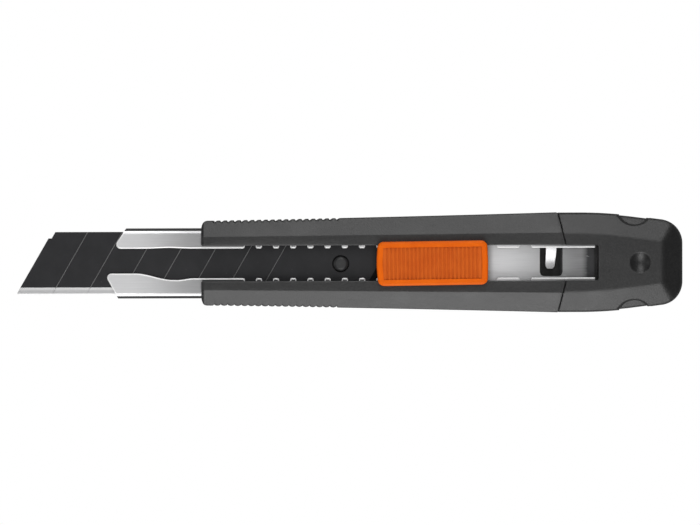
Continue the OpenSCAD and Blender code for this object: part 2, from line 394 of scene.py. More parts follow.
class Sheet:
    """The node sheet of one material, with a Principled shader and Object coordinates."""

    def __init__(self, name: str) -> None:
        """Make a material and clear its sheet."""
        self.material = bpy.data.materials.new(name)
        self.material.use_nodes = True
        self.tree = self.material.node_tree
        self.tree.nodes.clear()
        self.shader = self.tree.nodes.new("ShaderNodeBsdfPrincipled")
        self.output = self.tree.nodes.new("ShaderNodeOutputMaterial")
        self.tree.links.new(self.shader.outputs[0], self.output.inputs["Surface"])
        self.place = self.tree.nodes.new("ShaderNodeTexCoord").outputs["Object"]

    def node(self, kind: str, settings: dict[str, Any], inputs: dict[Any, Any]) -> bpy.types.Node:
        """Add a node.

        Args:
            kind: Its type.
            settings: Properties, set before its sockets.
            inputs: Values or links of its sockets, by name or number.

        Returns:
            The node.
        """
        made = self.tree.nodes.new(kind)
        for key, value in settings.items():
            setattr(made, key, value)
        for key, value in inputs.items():
            self.feed(made.inputs[key], value)
        return made

    def feed(self, socket: bpy.types.NodeSocket, value: Any) -> None:
        """Link a socket, or set its value."""
        if isinstance(value, Sum):
            self.tree.links.new(value.socket, socket)
        elif isinstance(value, bpy.types.NodeSocket):
            self.tree.links.new(value, socket)
        else:
            socket.default_value = value

    def along(self, axis: int) -> Sum:
        """Return the place along an axis, in metres."""
        split = self.node("ShaderNodeSeparateXYZ", {}, {"Vector": self.place})
        return Sum(self, split.outputs[axis])

    def past(self, axis: int, start: float, end: float) -> Sum:
        """Return 0 before start and 1 after end, both places along an axis in millimetres."""
        return self.along(axis).step(start * MM, end * MM)

    def noise(self, scale: float, stretch: Sequence[float] = (1, 1, 1), detail: float = 3.0,
              roughness: float = 0.5, shift: float = 0.0) -> Sum:
        """Return noise between 0 and 1.

        Args:
            scale: Features per metre.
            stretch: Factor on each axis; a small one draws the noise out along it.
            detail: Octaves of finer noise.
            roughness: Strength of the finer noise.
            shift: Moves the pattern, so that two patterns differ.

        Returns:
            The noise.
        """
        mapping = self.node("ShaderNodeMapping", {},
                            {"Vector": self.place, "Location": (shift,) * 3, "Scale": tuple(stretch)})
        made = self.node("ShaderNodeTexNoise", {},
                         {"Vector": mapping.outputs[0], "Scale": scale, "Detail": detail,
                          "Roughness": roughness})
        return Sum(self, made.outputs["Fac"])

    def mix(self, share: Any, first: Any, second: Any) -> bpy.types.NodeSocket:
        """Return the mix of two colours by a share."""
        made = self.node("ShaderNodeMix", {"data_type": "RGBA"}, {})
        self.feed(made.inputs["Factor"], share)
        self.feed(made.inputs[6], first)
        self.feed(made.inputs[7], second)
        return made.outputs[2]

    def bump(self, height: Sum, depth: float) -> None:
        """Raise the surface by a height between 0 and 1, as deep as a depth in millimetres."""
        made = self.node("ShaderNodeBump", {}, {"Height": height, "Distance": depth * MM, "Strength": 1.0})
        self.feed(self.shader.inputs["Normal"], made.outputs["Normal"])

    def set(self, **values: Any) -> None:
        """Set or link sockets of the shader; an underscore in a name stands for a space."""
        names = {socket.name.lower(): socket for socket in self.shader.inputs}
        for key, value in values.items():
            self.feed(names[key.replace("_", " ")], value)


def tint(red: float, green: float, blue: float) -> tuple[float, float, float, float]:
    """Return an opaque linear colour."""
    return (red, green, blue, 1.0)


# ---------------------------------------------------------------------------------------------------
# Finishes
# ---------------------------------------------------------------------------------------------------


@dataclass(frozen=True)
class MouldedPlastic:
    """Dark plastic with the fine grain of a spark-eroded mould, rubbed smoother by hands.

    Attributes:
        name: Name of the material.
        shade: Grey of the plastic, linear.
        roughness: Roughness where it isn't rubbed.
        grain: Depth of the grain, in millimetres.
        gloss: Strength of its sheen, 0.5 for plain plastic.
    """

    name: str
    shade: float = 0.0112
    roughness: float = 0.4
    grain: float = 0.05
    gloss: float = 0.5

    def make(self) -> bpy.types.Material:
        """Return the material."""
        sheet = Sheet(self.name)
        grain = sheet.noise(2100, detail=3.0, roughness=0.6)
        flow = sheet.noise(140, stretch=(0.35, 1, 1), detail=3.0, shift=3.0)
        rubbed = sheet.noise(60, detail=4.0, roughness=0.6, shift=7.0).step(0.5, 0.72)
        dust = sheet.noise(2600, detail=1.0, shift=11.0).step(0.68, 0.78)
        dark = tint(self.shade, self.shade, self.shade * 1.03)
        worn = tint(self.shade * 2.2, self.shade * 2.2, self.shade * 2.2)
        share = (flow.step(0.35, 0.75) * 0.5 + grain.step(0.35, 0.7) * 0.5).clamped()
        colour = sheet.mix(share, dark, worn)
        colour = sheet.mix(dust * 0.25, colour, tint(0.05, 0.05, 0.048))
        sheet.set(base_color=colour, roughness=self.roughness - 0.05 * rubbed + 0.3 * (grain - 0.5),
                  specular_ior_level=self.gloss)
        sheet.bump(grain + 0.2 * flow, self.grain)
        return sheet.material


@dataclass(frozen=True)
class BrushedSteel:
    """Stainless sheet with fine lines along its length, and painted shade where it runs into the handle and
    towards the slot's end.

    Attributes:
        name: Name of the material.
        bright: Grey of the clean sheet, linear.
        roughness: Middle roughness.
        painted_shade: Painted shade along the length: where each band starts and ends, in millimetres,
            and how much darker it gets, from 0 to 1.
        floor_painted_shade: The same painted shade, on the channel's floor only.
        rolled: Distance from the middle, in millimetres, past which the bend gets a painted dark
            reflection; 0 for none.
        painted_lip_shade: Distance from the middle past which the lips inside the handle get painted
        shade; 0 for none.
        floor_top: Height, in millimetres, under which the steel counts as the floor.
        bend_bottom: Height above which the rolled bend can get its painted dark reflection.
        lip_bottom: Height above which the lips can get painted shade.
    """

    name: str
    bright: float = 0.8
    roughness: float = 0.3
    painted_shade: tuple[tuple[float, float, float], ...] = ()
    floor_painted_shade: tuple[tuple[float, float, float], ...] = ()
    rolled: float = 0.0
    painted_lip_shade: float = 0.0
    floor_top: float = 9.0
    bend_bottom: float = 10.4
    lip_bottom: float = 11.6

    def make(self) -> bpy.types.Material:
        """Return the material."""
        sheet = Sheet(self.name)
        lines = sheet.noise(9000, stretch=(0.012, 1, 1), detail=3.0, roughness=0.6)
        cloud = sheet.noise(220, stretch=(0.4, 1, 1), detail=3.0, shift=5.0)
        nicks = sheet.noise(1500, stretch=(0.2, 1, 1), detail=2.0, shift=9.0).step(0.7, 0.78)
        level = lines * 0.24 + cloud * 0.12 - 0.1
        # Painted shade in bands along the length of the sheet.
        for start, end, change in self.painted_shade:
            level = level + change * sheet.past(0, start, end)
        # Painted shade in bands along the floor only: darker in front of the slider's rear end and at the
        # slot's end.
        if self.floor_painted_shade:
            deep = 1 - sheet.past(2, self.floor_top, self.floor_top + 0.4)
            for start, end, change in self.floor_painted_shade:
                level = level + change * deep * sheet.past(0, start, end)
        clean = tint(self.bright, self.bright, self.bright * 1.01)
        dull_and_shade = tint(self.bright * 0.08, self.bright * 0.08, self.bright * 0.083)
        # The dark end of this mix stands for both dull patches of the steel and painted shade.
        colour = sheet.mix(level.clamped(), clean, dull_and_shade)
        colour = sheet.mix(nicks * 0.25, colour, tint(0.8, 0.8, 0.8))
        # Painted dark reflection: a dark line along the outer part of the rolled bends.
        if self.rolled:
            high = sheet.past(2, self.bend_bottom, self.bend_bottom + 0.5)
            shadow = abs(sheet.along(1)).step(self.rolled * MM, (self.rolled + 0.16) * MM) * high
            colour = sheet.mix(shadow * 0.95, colour, tint(0.035, 0.035, 0.035))
        # Painted shade on the lips' tops next to the slot's walls, between the handle's front and x 4-8 mm:
        # on the near side all along, on the far side only in front of the first notch.
        if self.painted_lip_shade:
            lip = sheet.past(2, self.lip_bottom, self.lip_bottom + 0.15) * sheet.past(0, -70, -69.6)
            lip = lip * (1 - sheet.past(0, 4, 8))
            near = (-1 * sheet.along(1)).step(self.painted_lip_shade * MM, (self.painted_lip_shade + 0.2) * MM)
            far = sheet.past(1, self.painted_lip_shade + 0.3, self.painted_lip_shade + 0.5) * (1 - sheet.past(0, -57.6, -57.4))
            colour = sheet.mix((near + far).clamped() * lip * 0.85, colour, tint(0.03, 0.03, 0.03))
        rough = self.roughness + 0.16 * (lines - 0.5) + 0.1 * cloud
        sheet.set(base_color=colour, metallic=1.0, roughness=rough)
        sheet.bump(lines + 0.3 * cloud, 0.004)
        return sheet.material


@dataclass(frozen=True)
class EdgeHighlightPaint:
    """Painted highlight on the deburred edges of the steel sheet, near white so that they are bright from
    every side.
    """

    name: str = "painted_edge_highlight"

    def make(self) -> bpy.types.Material:
        """Return the material."""
        sheet = Sheet(self.name)
        rub = sheet.noise(3000, detail=3.0)
        cloud = sheet.noise(400, detail=2.0, shift=4.0)
        share = (rub * 0.5 + cloud * 0.4 - 0.2).clamped()
        colour = sheet.mix(share, tint(0.95, 0.95, 0.95), tint(0.7, 0.7, 0.7))
        sheet.set(base_color=colour, metallic=0.2, roughness=0.36 + 0.12 * rub)
        sheet.bump(rub, 0.003)
        return sheet.material


@dataclass(frozen=True)
class BlackCoating:
    """Thin black coat on blade steel, with faint rolling lines and rubbed specks."""

    name: str = "black_blade_coating"

    def make(self) -> bpy.types.Material:
        """Return the material."""
        sheet = Sheet(self.name)
        lines = sheet.noise(7000, stretch=(0.02, 1, 1), detail=2.0)
        cloud = sheet.noise(180, detail=4.0, shift=4.0)
        specks = sheet.noise(1900, detail=2.0, shift=8.0).step(0.72, 0.8)
        colour = sheet.mix(cloud.step(0.3, 0.8), tint(0.0082, 0.0082, 0.0098), tint(0.014, 0.014, 0.016))
        colour = sheet.mix(specks * 0.4, colour, tint(0.09, 0.09, 0.09))
        sheet.set(base_color=colour, roughness=0.46 + 0.1 * cloud + 0.06 * lines, specular_ior_level=0.35)
        sheet.bump(lines + 0.5 * cloud, 0.003)
        return sheet.material


@dataclass(frozen=True)
class GroundSteel:
    """Bare blade steel with grinding marks across the edge.

    Attributes:
        name: Name of the material.
        grey: Brightness of the steel, linear.
        metal: How metallic it looks.
        band: Place across, in millimetres, under which the second grinding is duller; 0 for none.
        hone: Place across, in millimetres, under which the honed edge is bright.
    """

    name: str
    grey: float = 0.55
    metal: float = 0.35
    band: float = 0.0
    hone: float = 0.0

    def make(self) -> bpy.types.Material:
        """Return the material."""
        sheet = Sheet(self.name)
        marks = sheet.noise(6500, stretch=(1, 0.03, 0.03), detail=3.0, roughness=0.7)
        bands = sheet.noise(500, stretch=(1, 0.05, 0.05), detail=2.0, shift=6.0)
        light = tint(self.grey, self.grey, self.grey)
        share = (marks * 0.3 + bands * 0.3 - 0.15).clamped()
        if self.band:
            lower = 1 - sheet.past(1, self.band - 0.08, self.band + 0.08)
            honed = 1 - sheet.past(1, self.hone - 0.06, self.hone + 0.06)
            light = sheet.mix(lower, light, tint(self.grey * 0.8, self.grey * 0.8, self.grey * 0.81))
            light = sheet.mix(honed, light, tint(0.8, 0.8, 0.8))
        colour = sheet.mix(share, light, tint(self.grey * 0.6, self.grey * 0.6, self.grey * 0.61))
        sheet.set(base_color=colour, metallic=self.metal, roughness=0.34 + 0.14 * marks)
        sheet.bump(marks, 0.003)
        return sheet.material


@dataclass(frozen=True)
class OrangePlastic:
    """Orange moulded plastic with a satin sheen.

    Attributes:
        name: Name of the material.
        colour: Linear red, green and blue.
        roughness: Middle roughness.
        grain: Depth of its grain, in millimetres.
        scale: Grain features per metre.
        grooves: Height, in millimetres, under which the grooves get painted shade; 0 for none.
    """

    name: str
    colour: tuple[float, float, float]
    roughness: float
    grain: float
    scale: float
    grooves: float = 0.0

    def make(self) -> bpy.types.Material:
        """Return the material."""
        sheet = Sheet(self.name)
        grain = sheet.noise(self.scale, detail=2.0)
        cloud = sheet.noise(260, detail=4.0, shift=2.0)
        soil = sheet.noise(900, detail=5.0, roughness=0.7, shift=5.0).step(0.58, 0.85)
        red, green, blue = self.colour
        colour = sheet.mix(cloud.step(0.3, 0.75), tint(red, green, blue),
                           tint(red * 0.93, green * 0.84, blue * 0.8))
        colour = sheet.mix(soil * 0.15, colour, tint(red * 0.5, green * 0.6, blue))
        # Painted shade in the pad's grooves: darker below the given height.
        if self.grooves:
            deep = 1 - sheet.past(2, self.grooves - 0.12, self.grooves)
            colour = sheet.mix(deep * 0.28, colour, tint(red * 0.6, green * 0.6, blue))
        sheet.set(base_color=colour, roughness=self.roughness + 0.1 * (cloud - 0.5) + 0.05 * grain,
                  specular_ior_level=0.08)
        sheet.bump(grain + 0.3 * cloud, self.grain)
        return sheet.material


@dataclass(frozen=True)
class DarkSteel:
    """Blackened steel of the stud, polished where the blade rubs it."""

    name: str = "dark_stud_steel"

    def make(self) -> bpy.types.Material:
        """Return the material."""
        sheet = Sheet(self.name)
        turning = sheet.noise(5000, detail=2.0)
        cloud = sheet.noise(700, detail=3.0, shift=3.0)
        colour = sheet.mix(cloud.step(0.4, 0.7), tint(0.03, 0.03, 0.031), tint(0.04, 0.04, 0.04))
        sheet.set(base_color=colour, metallic=0.3, roughness=0.36 + 0.12 * turning)
        sheet.bump(turning, 0.003)
        return sheet.material


@dataclass
class Finishes:
    """All finishes of the knife, made once."""

    handle: bpy.types.Material = field(init=False)
    cap: bpy.types.Material = field(init=False)
    carrier: bpy.types.Material = field(init=False)
    channel: bpy.types.Material = field(init=False)
    rim: bpy.types.Material = field(init=False)
    spring: bpy.types.Material = field(init=False)
    coating: bpy.types.Material = field(init=False)
    edge: bpy.types.Material = field(init=False)
    score: bpy.types.Material = field(init=False)
    stud: bpy.types.Material = field(init=False)
    slider: bpy.types.Material = field(init=False)
    pad: bpy.types.Material = field(init=False)

    def __post_init__(self) -> None:
        """Make the materials."""
        self.handle = MouldedPlastic("handle_plastic").make()
        self.cap = MouldedPlastic("cap_plastic", shade=0.0098, roughness=0.42).make()
        # The carrier plastic is made near black and barely glossy as painted shade: it shows only in the
        # shaded ring round the stud.
        self.carrier = MouldedPlastic("carrier_plastic", shade=0.0025, roughness=0.5, gloss=0.12).make()
        # Painted shade on the channel: darker towards the handle's front and the slot's rear end, darker on
        # the floor in front of the slider and at the slot's end, a painted dark reflection on the rolled
        # bends, and painted shade on the lips beside the slot.
        painted_shade = ((-92, -69, 0.48), (-45, -30, -0.5), (16, 42, 0.65))
        floor_painted_shade = ((-200, -199, 0.5), (12.8, 15.4, -0.5), (40.4, 44.4, 0.55))
        self.channel = BrushedSteel("channel_steel", painted_shade=painted_shade, floor_painted_shade=floor_painted_shade,
                                    rolled=9.3, painted_lip_shade=4.62).make()
        # Painted highlight for the rounded lip edges.
        self.rim = EdgeHighlightPaint().make()
        self.spring = BrushedSteel("spring_steel", bright=0.5, roughness=0.35).make()
        self.coating = BlackCoating().make()
        self.edge = GroundSteel("ground_edge_steel", band=-7.75, hone=-8.62).make()
        self.score = GroundSteel("scored_steel", grey=0.16, metal=0.0).make()
        self.stud = DarkSteel().make()
        self.slider = OrangePlastic("slider_orange", (0.81, 0.138, 0.004), 0.36, 0.004, 3000).make()
        # Height under which the pad's grooves get painted shade.
        groove_top = node_box("slide_button")[1].z - 0.27
        self.pad = OrangePlastic("pad_orange", (0.64, 0.122, 0.014), 0.55, 0.006, 6000, groove_top).make()


# ---------------------------------------------------------------------------------------------------
# Pieces
# ---------------------------------------------------------------------------------------------------


class Body(Enum):
    """The bodies that pieces ride on."""

    HANDLE = "handle"
    CARRIAGE = "carriage"
    SLIDER = "slider"
    CAP = "cap"


class Slot(Enum):
    """The record's finishes."""

    HANDLE = "handle_plastic"
    CAP = "cap_plastic"
    CHANNEL = "channel_steel"
    BLADE = "blade_coating"
    STUD = "stud_steel"
    SLIDER = "slider_plastic"
    PAD = "pad_rubber"


def fit(thing: bpy.types.Object, body: Body, node: str, slot: Slot,
        *materials: bpy.types.Material) -> None:
    """Fasten a piece to its body, let it stand for its node and dress it.

    Args:
        thing: The piece.
        body: The body that it rides on.
        node: The node that it replaces.
        slot: The record's finish; not used.
        *materials: Its materials, in the order of its faces' material numbers.
    """
    for material in materials:
        thing.data.materials.append(material)
    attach(thing, body.value)
    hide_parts(node)
    LOG.info("%s: %d faces on %s", thing.name, len(thing.data.polygons), body.value)


@dataclass
class Grip:
    """The form that handle and cap share: how wide, flat and thick it is at each place.

    Attributes:
        front_half: Half the width at the blade end.
        rear_half: Half the width beside the joint.
        flat_half: Half the width of the flat face at the blade end.
        flat_taper: Growth of that half width per millimetre.
        chamfer: Slope of the long chamfers, in degrees.
        slot_half: Half the width of the slot.
        taper_length: Length over which the width grows from front_half to rear_half.
        taper_curve: Share of that growth that curves.
        cavity_gap: Room round the channel.
        v_slope: Slope of the V-shaped joint.
        gap: Gap of the joint.
        closed_gap: What the collar leaves of that gap.
        joint_edge: Chamfer of the edges along the joint.
    """

    front_half: float = 12.25
    rear_half: float = 14.55
    flat_half: float = 7.75
    flat_taper: float = 0.0096
    chamfer: float = 28.0
    slot_half: float = 5.15
    taper_length: float = 105.0
    taper_curve: float = 0.28
    cavity_gap: float = 0.1
    v_slope: float = 0.24
    gap: float = 0.2
    closed_gap: float = 0.05
    joint_edge: float = 0.28

    def __post_init__(self) -> None:
        """Read the places from the frame."""
        body_low, body_high = node_box("handle_body")
        cap_high = node_box("end_cap")[1]
        channel_low, channel_high = node_box("blade_channel")
        self.front = body_low.x
        self.rear = cap_high.x
        self.nose = body_high.x
        self.thick = body_high.z
        self.cavity_half = channel_high.y + self.cavity_gap
        self.cavity_floor = channel_low.z - self.cavity_gap
        self.cavity_top = channel_high.z + self.cavity_gap
        self.slope = math.tan(math.radians(self.chamfer))

    def body_half(self, x: float) -> float:
        """Return half the width of the handle at a place."""
        t = (x - self.front) / self.taper_length
        growth = (1.0 - self.taper_curve) * t + self.taper_curve * t * t
        return self.front_half + (self.rear_half - self.front_half) * growth

    def body_flat(self, x: float) -> float:
        """Return half the width of the handle's flat face at a place."""
        return self.flat_half + self.flat_taper * (x - self.front)

    def on_joint(self, edge: Any, place: float, scale: float) -> bool:
        """Return whether an edge runs round the outside of the joint.

        Args:
            edge: A bmesh edge.
            place: Place of the joint's tip.
            scale: Size of a millimetre in the bmesh.

        Returns:
            True for the outer edges of the joint's face, but not those of the channel's cavity.
        """
        side, floor, ceiling = self.cavity_half + 0.2, 2.2, self.cavity_top + 0.6
        for vert in edge.verts:
            x, y, z = vert.co / scale
            if abs(x - place + self.v_slope * abs(y)) > 1e-3:
                return False
            if abs(y) < side and floor < z < ceiling:
                return False
        return edge.calc_face_angle(0.0) > math.radians(40)

    def shoulder(self, wide: float, flat: float) -> float:
        """Return the height at which the front chamfer meets the side."""
        return self.thick - (wide - flat) * self.slope


@dataclass
class Handle:
    """The moulded handle with ribbed edges and an open slot.

    Attributes:
        grip: The shared form.
        rib_depth: Depth of the round ribs on the edge that is nearer the cutting edge.
        lean_depth: Depth of the leaning ribs on the other edge.
        rib_reach: Distance from the side over which the ribs fade out.
        rib_steps: Sections per rib.
        rib_pitch: Distance from rib to rib.
        rib_first: Place of the first groove.
        rib_count: Number of grooves on each edge.
        nose_radius: Rounding of the front corners in plan.
        edge_radius: Rounding of the outer front edges.
        slot_edge_radius: Rounding of the front edges round the slot.
        crest_radius: Rounding of the edges of both flat faces.
        side_radius: Rounding of the edges of both side faces.
        slot_radius: Rounding of the slot's upper edges.
        lip_radius: Rounding of the slot's lower edges.
        cavity_radius: Rounding of the cavity's corners.
        thinnest: Least thickness of the side walls at the rounded front.
        form_end: Place past the joint up to which the form runs before it is cut.
        arm_room: Corners of the room for the cap's arms.
        tab_room: Corners of the room under the channel's tab.
    """

    grip: Grip
    rib_depth: float = 0.46
    lean_depth: float = 0.414
    rib_reach: float = 0.7
    rib_steps: int = 18
    rib_pitch: float = 1.98
    rib_first: float = -66.4
    rib_count: int = 19
    nose_radius: float = 1.6
    edge_radius: float = 0.75
    slot_edge_radius: float = 0.2
    crest_radius: float = 0.85
    side_radius: float = 0.8
    slot_radius: float = 0.3
    lip_radius: float = 0.26
    cavity_radius: float = 1.4
    thinnest: float = 0.12
    form_end: float = 39.0
    arm_room: Box = ((8.0, -9.0, 2.4), (60.0, 9.0, 6.6))
    tab_room: Box = ((28.6, -4.2, 5.6), (34.6, 5.2, 8.6))

    def rib(self, x: float, leaning: bool) -> float:
        """Return how far an edge is cut back at a place.

        Args:
            x: The place along the handle.
            leaning: Whether the ribs rise slowly and drop fast, or are round.

        Returns:
            The depth of the cut.
        """
        number = (x - self.rib_first) / self.rib_pitch
        if number < -0.5 or number > self.rib_count - 0.5:
            return 0.0
        if leaning:
            phase = number - math.floor(number)
            rise = 1.0 - ease(0.0, 0.5, phase) if number > 0 else 0.0
            drop = ease(0.84, 1.0, phase) if number < self.rib_count - 1 else 0.0
            return self.lean_depth * max(rise, drop)
        from_groove = abs(number - round(number)) * 2.0
        if number < 0 or number > self.rib_count - 1:
            from_groove = min(from_groove * 2.0, 1.0)
        q = 1.0 - from_groove
        return self.rib_depth * (1.0 - math.sqrt(max(1.0 - q * q, 0.0))) ** 0.8

    def half_width(self, x: float) -> float:
        """Return half the width at a place, with the front corners rounded."""
        radius = self.nose_radius
        depth = max(radius - (x - self.grip.front), 0.0)
        return self.grip.body_half(x) - (radius - math.sqrt(max(radius ** 2 - depth ** 2, 0.0)))

    def section(self, x: float, inset: float = 0.0) -> Ring:
        """Return the C-shaped section at a place.

        Args:
            x: The place along the handle.
            inset: How far all walls are moved in, for the rounded front edges.

        Returns:
            Points in space.
        """
        grip = self.grip
        wide, flat = self.half_width(x), grip.body_flat(x)
        top, floor, ceiling = grip.thick, grip.cavity_floor, grip.cavity_top
        knee = grip.shoulder(wide, flat)
        near = [wide - 1.0, wide - 0.6]
        outer = [
            Corner(flat, 0.0, self.crest_radius, 4),
            *[Corner(y, (y - flat) * grip.slope) for y in near],
            Corner(wide, top - knee, self.side_radius, 4),
            Corner(wide, knee, self.side_radius, 4),
            *[Corner(y, top - (y - flat) * grip.slope) for y in reversed(near)],
            Corner(flat, top, self.crest_radius, 4),
            Corner(grip.slot_half, top, self.slot_radius, 4),
            Corner(grip.slot_half, ceiling, self.lip_radius, 2),
            Corner(grip.cavity_half, ceiling, self.cavity_radius, 4),
            Corner(grip.cavity_half, floor, self.cavity_radius, 4),
        ]
        plain = outline(mirrored(outer))
        slimmer, fuller = shrink(plain, min(inset, self.slot_edge_radius)), shrink(plain, inset)
        least, hair = grip.cavity_half + self.thinnest, 0.01
        ring: Ring = []
        for kept, slim, full in zip(plain, slimmer, fuller):
            if abs(kept.x) < grip.cavity_half + hair and floor - hair < kept.y < ceiling + hair:
                point = kept
            else:
                point = slim.lerp(full, ease(grip.slot_half + 0.5, grip.slot_half + 1.5, abs(slim.x)))
                if abs(kept.x) > least:
                    point.x = math.copysign(max(abs(point.x), least), point.x)
            depth = self.rib(x, point.x > 0) * ease(wide - self.rib_reach, wide - 0.05, abs(point.x))
            ring.append(Vector((x, point.x - math.copysign(depth, point.x), point.y)))
        return ring

    def stations(self) -> list[tuple[float, float]]:
        """Return the places of the sections with their insets."""
        front, radius = self.grip.front, self.edge_radius
        turns = [math.radians(90 * k / 5) for k in range(6)]
        nose = [(front + radius * (1 - math.cos(t)), radius * (1 - math.sin(t))) for t in turns]
        corner = [(front + x, 0.0) for x in (0.85, 1.0, 1.2, 1.4, 1.6, 2.1)]
        fine = self.rib_pitch / self.rib_steps
        first = self.rib_first - self.rib_pitch / 2
        ribs = [(first + k * fine, 0.0) for k in range(self.rib_steps * self.rib_count + 1)]
        last, count = ribs[-1][0], 26
        plain = [(last + k * (self.form_end - last) / count, 0.0) for k in range(1, count + 1)]
        return nose + corner + ribs + plain

    def build(self, finishes: Finishes) -> None:
        """Build the handle and dress it."""
        grip = self.grip
        mesh = skin([self.section(x, inset) for x, inset in self.stations()])
        tip = grip.nose + grip.gap - grip.closed_gap
        for side in (1, -1):
            everything = mesh.verts[:] + mesh.edges[:] + mesh.faces[:]
            bmesh.ops.bisect_plane(mesh, geom=everything, dist=1e-5, clear_outer=True,
                                   plane_co=(tip, 0, 0), plane_no=(1, side * grip.v_slope, 0))
            close_holes(mesh)
        handle = to_object("handle_shell", mesh)
        round_edges(handle, grip.joint_edge, lambda edge: grip.on_joint(edge, tip, MM), 2)
        cut(handle, block(*self.arm_room), block(*self.tab_room))
        smooth(handle)
        fit(handle, Body.HANDLE, "handle_body", Slot.HANDLE, finishes.handle)


@dataclass
class EndCap:
    """The pull-off end cap with its dimple, finger recesses and two arms.

    Attributes:
        grip: The shared form.
        joint_half: Half the width at the joint.
        taper_half: Half the width at taper_at.
        taper_at: Place at which the sides' taper is measured.
        taper: Growth of that half width per millimetre forwards.
        flat_half: Half the width of the flat face at taper_at.
        flat_taper: Growth of that half width per millimetre forwards.
        corner_radius: Radius of the rear corners in plan.
        corner_side: Distance of their centres from the middle.
        end_slope: Slope of the end face, in degrees.
        end_run: Length of the sloping end.
        end_turn: How far the sloping end runs round the corners, from 0 to 1.
        end_blend: Rounding of the edge where it starts.
        crest_blend: Rounding of the edges of the flat face.
        slot_end: Place of the slot's rear end.
        dimple_at: Place of the dimple.
        dimple_radius: Its radius.
        dimple_depth: Its depth.
        recess_at: Place of the finger recesses.
        recess_radius: Their radius, measured on the chamfer.
        recess_reach: How far they reach in from the edge.
        recess_depth: Their depth.
        recess_draft: Slope of their walls, sideways per millimetre of depth.
        edge_radius: Rounding of the outer edges.
        across: Number of faces across the front face.
        crowding: How much those faces crowd towards the sides, from 0 to 1.
        side_inset: Share of an inset by which the sides move in.
        form_start: Place before the joint at which the form starts before it is cut.
        arm_side: Distance of the arms from the middle.
        arm_half: Half their thickness.
        hollow: Corners of the room inside.
    """

    grip: Grip
    joint_half: float = 14.44
    taper_half: float = 12.45
    taper_at: float = 63.7
    taper: float = 0.128
    flat_half: float = 6.213
    flat_taper: float = 0.13
    corner_radius: float = 7.0
    corner_side: float = 5.5
    end_slope: float = 38.0
    end_run: float = 5.6
    end_turn: float = 0.45
    end_blend: float = 0.9
    crest_blend: float = 0.28
    slot_end: float = 45.4
    dimple_at: float = 57.5
    dimple_radius: float = 3.0
    dimple_depth: float = 1.45
    recess_at: float = 56.1
    recess_radius: float = 5.25
    recess_reach: float = 2.9
    recess_depth: float = 0.7
    recess_draft: float = 1.25
    edge_radius: float = 0.8
    across: int = 90
    crowding: float = 0.38
    side_inset: float = 0.4
    form_start: float = 32.0
    arm_side: float = 7.1
    arm_half: float = 1.6
    hollow: Box = ((30.0, -5.5, 2.4), (62.0, 5.5, 6.6))

    def half_width(self, x: float) -> float:
        """Return half the width at a place."""
        centre = self.grip.rear - self.corner_radius
        straight = soft_min(self.joint_half, self.taper_half + self.taper * (self.taper_at - x), 1.0)
        if x <= centre:
            return straight
        depth = min(x - centre, self.corner_radius)
        bow = self.corner_side + math.sqrt(self.corner_radius ** 2 - depth ** 2)
        return min(straight, bow)

    def flat(self, x: float) -> float:
        """Return half the width of the flat face at a place."""
        tapered = self.flat_half + self.flat_taper * (self.taper_at - x)
        return soft_min(self.grip.body_flat(x) - 0.2, tapered, 1.2)

    def height(self, x: float, y: float) -> float:
        """Return the height of the front face at a point, with the sloping end run round the corners."""
        grip = self.grip
        ahead = x - (grip.rear - self.corner_radius)
        past, aside = max(ahead, 0.0), max(abs(y) - self.corner_side, 0.0)
        inside = self.corner_radius - math.hypot(past, self.end_turn * aside) - min(ahead, 0.0)
        slope = math.tan(math.radians(self.end_slope))
        end = grip.thick + (inside - self.end_run) * slope
        side = grip.thick - (abs(y) - self.flat(x)) * grip.slope
        face = soft_min(soft_min(grip.thick, side, self.crest_blend), end, self.end_blend)
        edge = self.half_width(x) - abs(y)
        if ahead > 0:
            edge = min(edge, self.corner_radius - math.hypot(past, aside))
        bite = max(self.edge_radius - edge, 0.0)
        return face - (self.edge_radius - math.sqrt(max(self.edge_radius ** 2 - bite ** 2, 0.0)))

    def section(self, x: float, inset: float = 0.0) -> Ring:
        """Return the section at a place.

        Args:
            x: The place along the cap.
            inset: How far all sides are moved in.

        Returns:
            Points in space, over the front face and back under the rear face.
        """
        thick, lift = self.grip.thick, inset / math.cos(math.radians(self.grip.chamfer))
        wide = self.half_width(x)
        ring: Ring = []
        for k in range(self.across + 1):
            turn = 2.0 * k / self.across - 1.0
            part = turn + self.crowding * (math.sin(math.pi / 2 * turn) - turn)
            narrow = wide - self.side_inset * inset
            ring.append(Vector((x, -narrow * part, self.height(x, wide * part) - lift)))
        return ring + [Vector((x, p.y, thick - p.z)) for p in reversed(ring)]

    def shell(self, inset: float = 0.0) -> bmesh.types.BMesh:
        """Return the outer form, moved in by an inset."""
        centre = self.grip.rear - self.corner_radius
        front = [self.form_start + 0.62 * k for k in range(50)]
        bend = [centre + self.corner_radius * math.sin(math.radians(3 * k)) for k in range(31)]
        places = [x for x in front if x < centre - 0.3] + bend
        mesh = skin([self.section(x, inset) for x in places])
        bmesh.ops.translate(mesh, vec=(-inset, 0, 0), verts=[v for v in mesh.verts if v.co.x > centre - 1])
        return mesh

    def joint(self) -> bmesh.types.BMesh:
        """Return the V-shaped prism in front of the cap."""
        grip = self.grip
        tip = grip.nose + grip.gap
        side = 20.0
        back = tip - grip.v_slope * side
        return prism([Vector((20, -side)), Vector((back, -side)), Vector((tip, 0)), Vector((back, side)),
                      Vector((20, side))], -5, 20)

    def dimple(self) -> bmesh.types.BMesh:
        """Return the cutter of the round dimple, with a softened rim."""
        radius, depth = self.dimple_radius, self.dimple_depth
        bowl = (radius ** 2 + depth ** 2) / (2 * depth)
        widest = math.asin(radius / bowl)
        profile = [(bowl * math.sin(widest * k / 12), bowl - depth - bowl * math.cos(widest * k / 12))
                   for k in range(12)]
        rim = [(radius + 0.02, -0.03), (radius + 0.12, 0.02), (radius + 0.12, 2.0)]
        return turned([*profile, *rim, (0.0, 2.0)], Vector((self.dimple_at, 0, self.grip.thick)))

